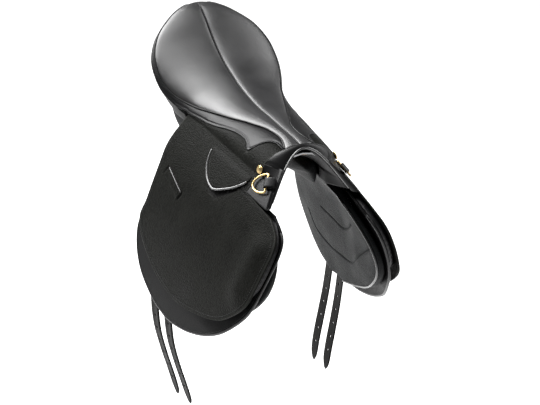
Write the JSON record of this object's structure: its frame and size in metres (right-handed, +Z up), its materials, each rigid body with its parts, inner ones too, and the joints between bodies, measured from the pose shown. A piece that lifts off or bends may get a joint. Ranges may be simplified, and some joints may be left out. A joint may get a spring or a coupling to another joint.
{
  "type": "english saddle",
  "caption": "English jumping saddle: close-contact seat, forward-cut lifting flaps, panels, stirrup bars and girth straps on a sprung tree.",
  "frame": {"origin": "midway between the two panel cushions, level with the flat of their undersides, where a rack's rail or the horse's back bears", "axes": "+X forward to the pommel, +Y to the near (left) side, +Z up"},
  "size_m": [0.5536, 0.389, 0.6411],
  "materials": {
    "arch_lining": "smooth satin",
    "arch_piping": "smooth satin",
    "billet_front_left": "smooth satin",
    "billet_front_right": "smooth satin",
    "billet_rear_left": "smooth satin",
    "billet_rear_right": "smooth satin",
    "cantle_facing": "smooth satin",
    "d_ring_chape_left": "smooth satin",
    "d_ring_chape_right": "smooth satin",
    "d_ring_left": "polished",
    "d_ring_right": "polished",
    "flap_head_left": "printed pebble grain",
    "flap_head_right": "printed pebble grain",
    "flap_left": "printed pebble grain",
    "flap_right": "printed pebble grain",
    "flap_tongue_left": "printed pebble grain",
    "flap_tongue_right": "printed pebble grain",
    "head_plate": "satin",
    "knee_block_left": "smooth satin",
    "knee_block_right": "smooth satin",
    "panel_cushion_left": "fine pebble grain",
    "panel_cushion_right": "fine pebble grain",
    "panel_flap_left": "fine pebble grain",
    "panel_flap_right": "fine pebble grain",
    "panel_piping_left": "smooth satin",
    "panel_piping_right": "smooth satin",
    "point_cover_left": "smooth satin",
    "point_cover_right": "smooth satin",
    "pommel_band": "smooth satin",
    "pommel_stud_left": "polished",
    "pommel_stud_right": "polished",
    "seat_foam": "open-cell foam",
    "seat_leather_left": "smooth satin",
    "seat_leather_right": "smooth satin",
    "seat_webbing": "woven",
    "seat_welt": "smooth satin",
    "side_welt_left": "smooth satin",
    "side_welt_right": "smooth satin",
    "skirt_left": "smooth satin",
    "skirt_right": "smooth satin",
    "stirrup_bar_left": "satin",
    "stirrup_bar_right": "satin",
    "stirrup_catch_left": "satin",
    "stirrup_catch_right": "satin",
    "stirrup_rivet_front_left": "satin",
    "stirrup_rivet_front_right": "satin",
    "stirrup_rivet_rear_left": "satin",
    "stirrup_rivet_rear_right": "satin",
    "sweat_flap_left": "smooth satin",
    "sweat_flap_right": "smooth satin",
    "tree": "bare laminated beech"
  },
  "bodies": {
    "saddle": {"arch_lining": "arch_lining", "arch_piping": "arch_piping", "cantle_facing": "cantle_facing", "d_ring_chape_left": "d_ring_chape_left", "d_ring_chape_right": "d_ring_chape_right", "flap_head_left": "flap_head_left", "flap_head_right": "flap_head_right", "head_plate": "head_plate", "knee_block_left": "knee_block_left", "knee_block_right": "knee_block_right", "panel_cushion_left": "panel_cushion_left", "panel_cushion_right": "panel_cushion_right", "panel_flap_left": "panel_flap_left", "panel_flap_right": "panel_flap_right", "panel_piping_left": "panel_piping_left", "panel_piping_right": "panel_piping_right", "point_cover_left": "point_cover_left", "point_cover_right": "point_cover_right", "pommel_band": "pommel_band", "pommel_stud_left": "pommel_stud_left", "pommel_stud_right": "pommel_stud_right", "seat_foam": "seat_foam", "seat_leather_left": "seat_leather_left", "seat_leather_right": "seat_leather_right", "seat_webbing": "seat_webbing", "seat_welt": "seat_welt", "side_welt_left": "side_welt_left", "side_welt_right": "side_welt_right", "skirt_left": "skirt_left", "skirt_right": "skirt_right", "stirrup_bar_left": "stirrup_bar_left", "stirrup_bar_right": "stirrup_bar_right", "stirrup_rivet_front_left": "stirrup_rivet_front_left", "stirrup_rivet_front_right": "stirrup_rivet_front_right", "stirrup_rivet_rear_left": "stirrup_rivet_rear_left", "stirrup_rivet_rear_right": "stirrup_rivet_rear_right", "sweat_flap_left": "sweat_flap_left", "sweat_flap_right": "sweat_flap_right", "tree": "tree"},
    "flap_left": {"flap_left": "flap_left"},
    "tongue_left": {"flap_tongue_left": "flap_tongue_left"},
    "ring_left": {"d_ring_left": "d_ring_left"},
    "catch_left": {"stirrup_catch_left": "stirrup_catch_left"},
    "strap_front_left": {"billet_front_left": "billet_front_left"},
    "strap_rear_left": {"billet_rear_left": "billet_rear_left"},
    "flap_right": {"flap_right": "flap_right"},
    "tongue_right": {"flap_tongue_right": "flap_tongue_right"},
    "ring_right": {"d_ring_right": "d_ring_right"},
    "catch_right": {"stirrup_catch_right": "stirrup_catch_right"},
    "strap_front_right": {"billet_front_right": "billet_front_right"},
    "strap_rear_right": {"billet_rear_right": "billet_rear_right"}
  },
  "joints": [
    {"name": "flap_lift_left", "type": "hinge", "parent": "saddle", "child": "flap_left", "pos_m": [-0.075, 0.0935, 0.0735], "axis": [0.9964, -0.0847, 0], "range_deg": [0, 55]},
    {"name": "tongue_lift_left", "type": "hinge", "parent": "flap_left", "child": "tongue_left", "pos_m": [0.084, 0.08717, 0.066], "axis": [0.9964, -0.0847, 0], "range_deg": [0, 60]},
    {"name": "ring_swing_left", "type": "hinge", "parent": "saddle", "child": "ring_left", "pos_m": [0.18015, 0.07564, 0.0757], "axis": [0.6174, 0.4907, -0.6149], "range_deg": [0, 120]},
    {"name": "catch_turn_left", "type": "hinge", "parent": "saddle", "child": "catch_left", "pos_m": [0.0603, 0.08854, 0.0568], "axis": [0, 0.7821, 0.6231], "range_deg": [0, 90]},
    {"name": "strap_front_swing_left", "type": "hinge", "parent": "saddle", "child": "strap_front_left", "pos_m": [0.06748, 0.0987, 0.02], "axis": [0.0847, 0.9964, 0], "range_deg": [-2.5, 2]},
    {"name": "strap_rear_swing_left", "type": "hinge", "parent": "saddle", "child": "strap_rear_left", "pos_m": [0.01952, 0.10278, 0.02], "axis": [0.0847, 0.9964, 0], "range_deg": [-2, 3]},
    {"name": "flap_lift_right", "type": "hinge", "parent": "saddle", "child": "flap_right", "pos_m": [-0.075, -0.0935, 0.0735], "axis": [-0.9964, -0.0847, 0], "range_deg": [0, 55]},
    {"name": "tongue_lift_right", "type": "hinge", "parent": "flap_right", "child": "tongue_right", "pos_m": [0.084, -0.08717, 0.066], "axis": [-0.9964, -0.0847, 0], "range_deg": [0, 60]},
    {"name": "ring_swing_right", "type": "hinge", "parent": "saddle", "child": "ring_right", "pos_m": [0.18015, -0.07564, 0.0757], "axis": [-0.6174, 0.4907, 0.6149], "range_deg": [0, 120]},
    {"name": "catch_turn_right", "type": "hinge", "parent": "saddle", "child": "catch_right", "pos_m": [0.0603, -0.08854, 0.0568], "axis": [0, 0.7821, -0.6231], "range_deg": [0, 90]},
    {"name": "strap_front_swing_right", "type": "hinge", "parent": "saddle", "child": "strap_front_right", "pos_m": [0.06748, -0.0987, 0.02], "axis": [-0.0847, 0.9964, 0], "range_deg": [-2.5, 2]},
    {"name": "strap_rear_swing_right", "type": "hinge", "parent": "saddle", "child": "strap_rear_right", "pos_m": [0.01952, -0.10278, 0.02], "axis": [-0.0847, 0.9964, 0], "range_deg": [-2, 3]}
  ]
}
